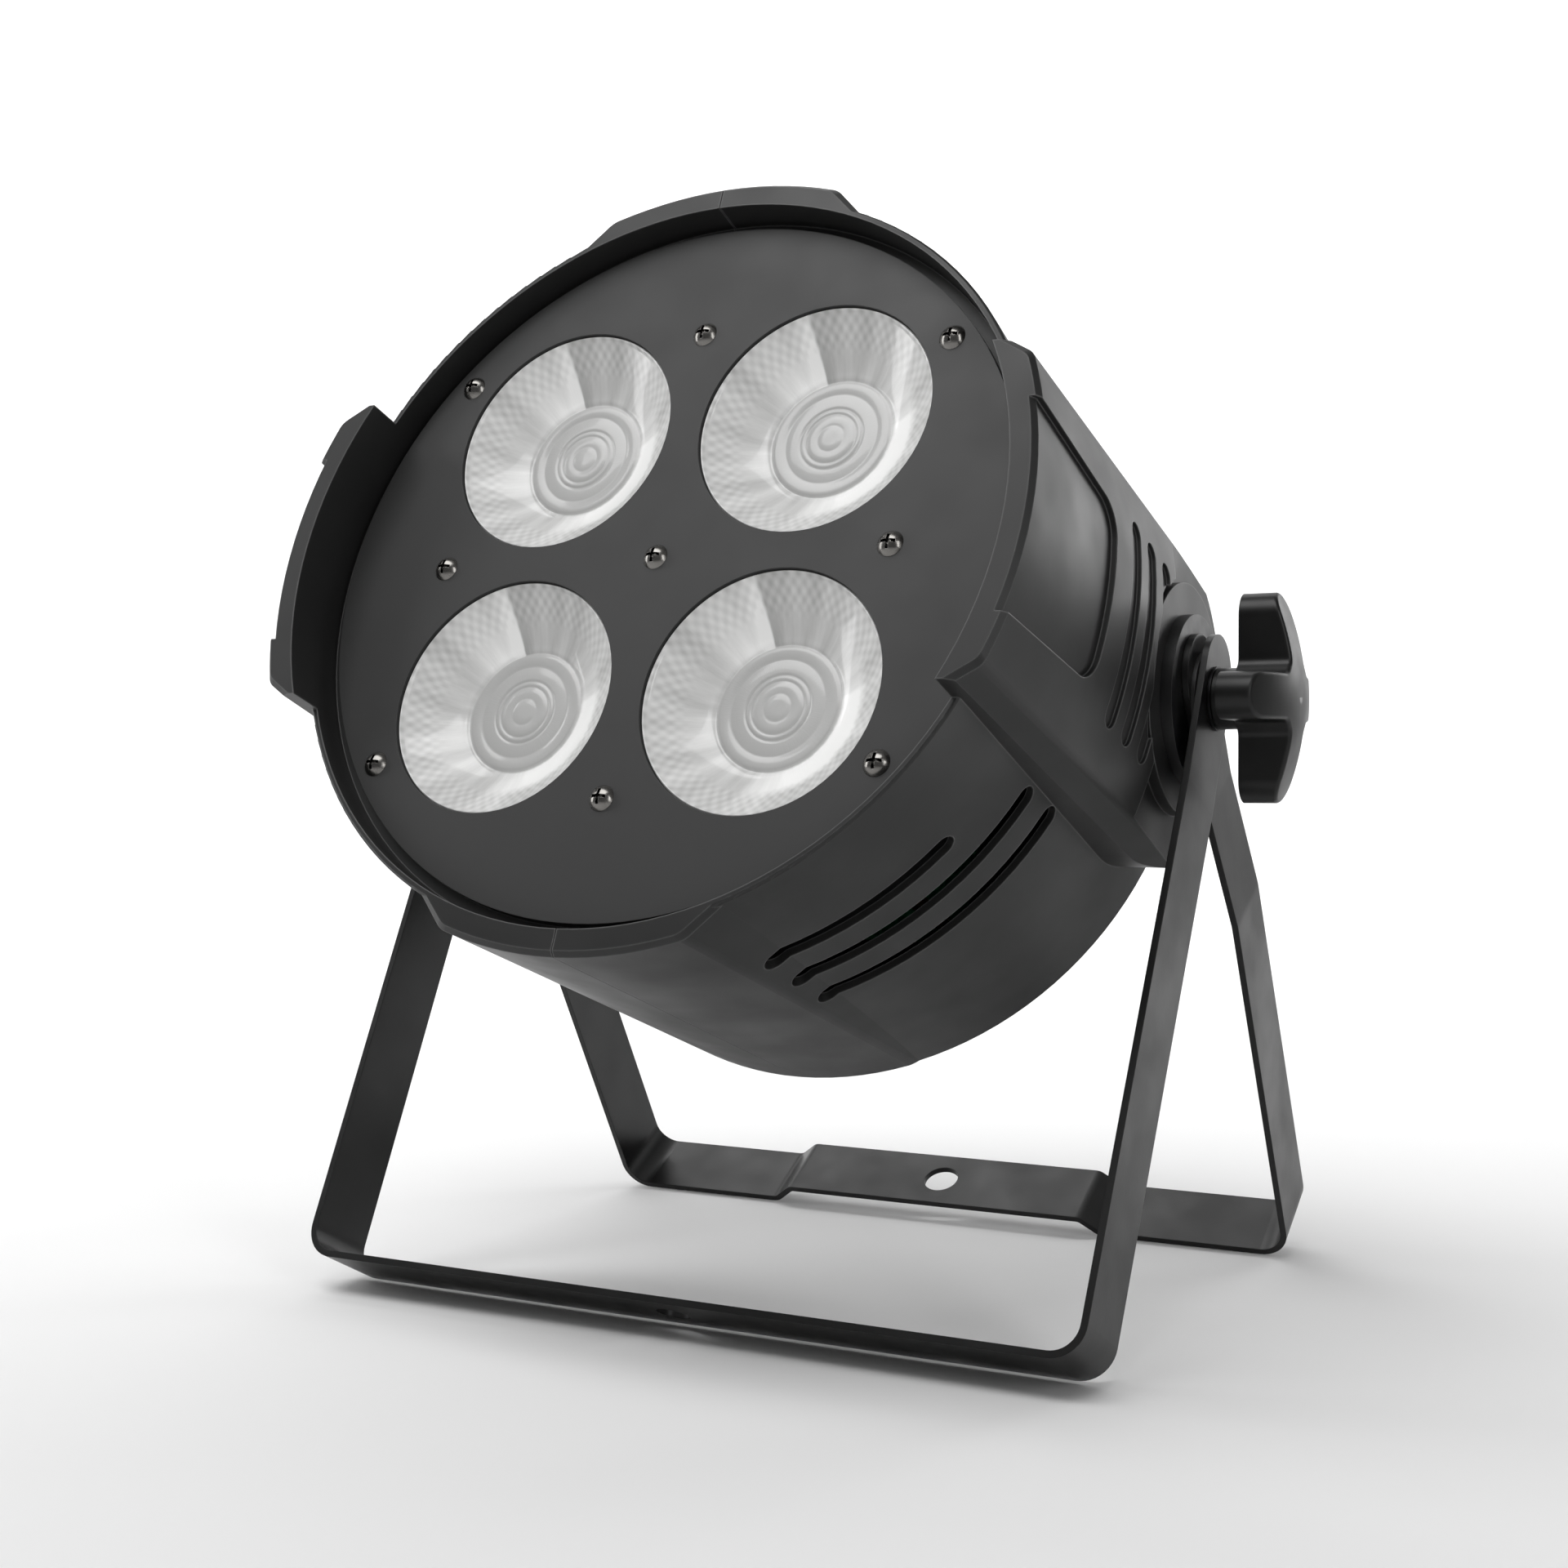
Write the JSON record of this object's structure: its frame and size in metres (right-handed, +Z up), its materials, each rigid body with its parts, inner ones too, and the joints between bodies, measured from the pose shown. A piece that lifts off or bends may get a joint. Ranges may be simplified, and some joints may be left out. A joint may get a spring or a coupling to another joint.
{
  "type": "par can light",
  "caption": "Stage par can light with dished lenses behind a round plate, tilting between two flat-bar yokes with clamp knobs.",
  "frame": {"origin": "on the floor, at the middle of the footprint box, in the standing pose", "axes": "+Z up, lenses towards -Y, pivot axis along X"},
  "size_m": [0.312, 0.2636, 0.3335],
  "materials": {
    "housing_abs": "satin moulded ABS",
    "plate_coat": "matte black powder coat",
    "screw_steel": "nickel plated",
    "nickel_brass": "nickel plated, turned",
    "cast_aluminium": "natural, fine satin",
    "fan_plastic": "satin",
    "circuit_board": "green solder mask",
    "display_glass": "smoked clear",
    "display_body": "satin",
    "socket_plastic": "satin",
    "lens_pmma": "clear moulded",
    "holder_white": "white",
    "cob_ceramic": "white ceramic with yellow phosphor",
    "button_plastic": "satin",
    "pad_rubber": "smooth black",
    "spacer_nylon": "black nylon",
    "yoke_coat": "black powder coat, satin",
    "knob_plastic": "satin glass-filled nylon"
  },
  "bodies": {
    "front_yoke": {"front_yoke": "yoke_coat", "knob_washer_left": "screw_steel", "knob_washer_right": "screw_steel"},
    "rear_yoke": {"rear_yoke": "yoke_coat", "arm_spacer_left": "spacer_nylon", "arm_spacer_right": "spacer_nylon"},
    "head": {"cob_led_1": "cob_ceramic", "cob_led_2": "cob_ceramic", "cob_led_3": "cob_ceramic", "cob_led_4": "cob_ceramic", "control_board": "circuit_board", "cover_screws": "screw_steel", "display_module": "display_body", "display_window": "display_glass", "dmx_in_socket": "socket_plastic", "dmx_out_socket": "socket_plastic", "driver_board": "circuit_board", "driver_posts": "nickel_brass", "fan_frame": "fan_plastic", "fan_screws": "screw_steel", "friction_pad_left": "pad_rubber", "friction_pad_right": "pad_rubber", "front_plate": "plate_coat", "front_screws": "screw_steel", "fuse_holder": "socket_plastic", "heat_sink": "cast_aluminium", "housing_left": "housing_abs", "housing_right": "housing_abs", "lens_1": "lens_pmma", "lens_2": "lens_pmma", "lens_3": "lens_pmma", "lens_4": "lens_pmma", "lens_holder_1": "holder_white", "lens_holder_2": "holder_white", "lens_holder_3": "holder_white", "lens_holder_4": "holder_white", "panel_screws": "screw_steel", "pivot_bolt_left": "screw_steel", "pivot_bolt_right": "screw_steel", "plate_standoffs": "nickel_brass", "power_inlet": "socket_plastic", "power_outlet": "socket_plastic", "rear_cover": "housing_abs", "safety_eye": "screw_steel"},
    "fan": {"fan_rotor": "fan_plastic"},
    "menu_key": {"button_menu": "button_plastic"},
    "down_key": {"button_down": "button_plastic"},
    "up_key": {"button_up": "button_plastic"},
    "enter_key": {"button_enter": "button_plastic"},
    "insert_left": {"knob_insert_left": "nickel_brass"},
    "insert_right": {"knob_insert_right": "nickel_brass"},
    "knob_left": {"knob_left": "knob_plastic"},
    "knob_right": {"knob_right": "knob_plastic"}
  },
  "joints": [
    {"name": "rear_yoke_fold", "type": "hinge", "parent": "front_yoke", "child": "rear_yoke", "pos_m": [0, 0.01939, 0.18219], "axis": [1, 0, 0], "range_deg": [-22, 40]},
    {"name": "head_tilt", "type": "hinge", "parent": "front_yoke", "child": "head", "pos_m": [0, 0.01939, 0.18219], "axis": [1, 0, 0], "range_deg": [-68, 112]},
    {"name": "fan_spin", "type": "hinge", "parent": "head", "child": "fan", "pos_m": [0, -0.00139, 0.18842], "axis": [0, -0.9272, 0.3746], "continuous": true},
    {"name": "menu_press", "type": "slide", "parent": "head", "child": "menu_key", "axis": [0, -0.9272, 0.3746], "range_m": [0, 0.0008], "stiffness_N_per_m": 500},
    {"name": "down_press", "type": "slide", "parent": "head", "child": "down_key", "axis": [0, -0.9272, 0.3746], "range_m": [0, 0.0008], "stiffness_N_per_m": 500},
    {"name": "up_press", "type": "slide", "parent": "head", "child": "up_key", "axis": [0, -0.9272, 0.3746], "range_m": [0, 0.0008], "stiffness_N_per_m": 500},
    {"name": "enter_press", "type": "slide", "parent": "head", "child": "enter_key", "axis": [0, -0.9272, 0.3746], "range_m": [0, 0.0008], "stiffness_N_per_m": 500},
    {"name": "knob_left_travel", "type": "slide", "parent": "head", "child": "insert_left", "axis": [-1, 0, 0], "range_m": [0, 0.0025]},
    {"name": "knob_left_turn", "type": "hinge", "parent": "insert_left", "child": "knob_left", "pos_m": [-0.132, 0.01939, 0.18219], "axis": [-1, 0, 0], "range_deg": [0, 720]},
    {"name": "knob_right_travel", "type": "slide", "parent": "head", "child": "insert_right", "axis": [1, 0, 0], "range_m": [0, 0.0025]},
    {"name": "knob_right_turn", "type": "hinge", "parent": "insert_right", "child": "knob_right", "pos_m": [0.132, 0.01939, 0.18219], "axis": [1, 0, 0], "range_deg": [0, 720]}
  ],
  "couplings": [
    {"joint": "knob_left_turn", "follows": "knob_left_travel", "rad_per_m": 5026.5},
    {"joint": "knob_right_turn", "follows": "knob_right_travel", "rad_per_m": 5026.5}
  ]
}
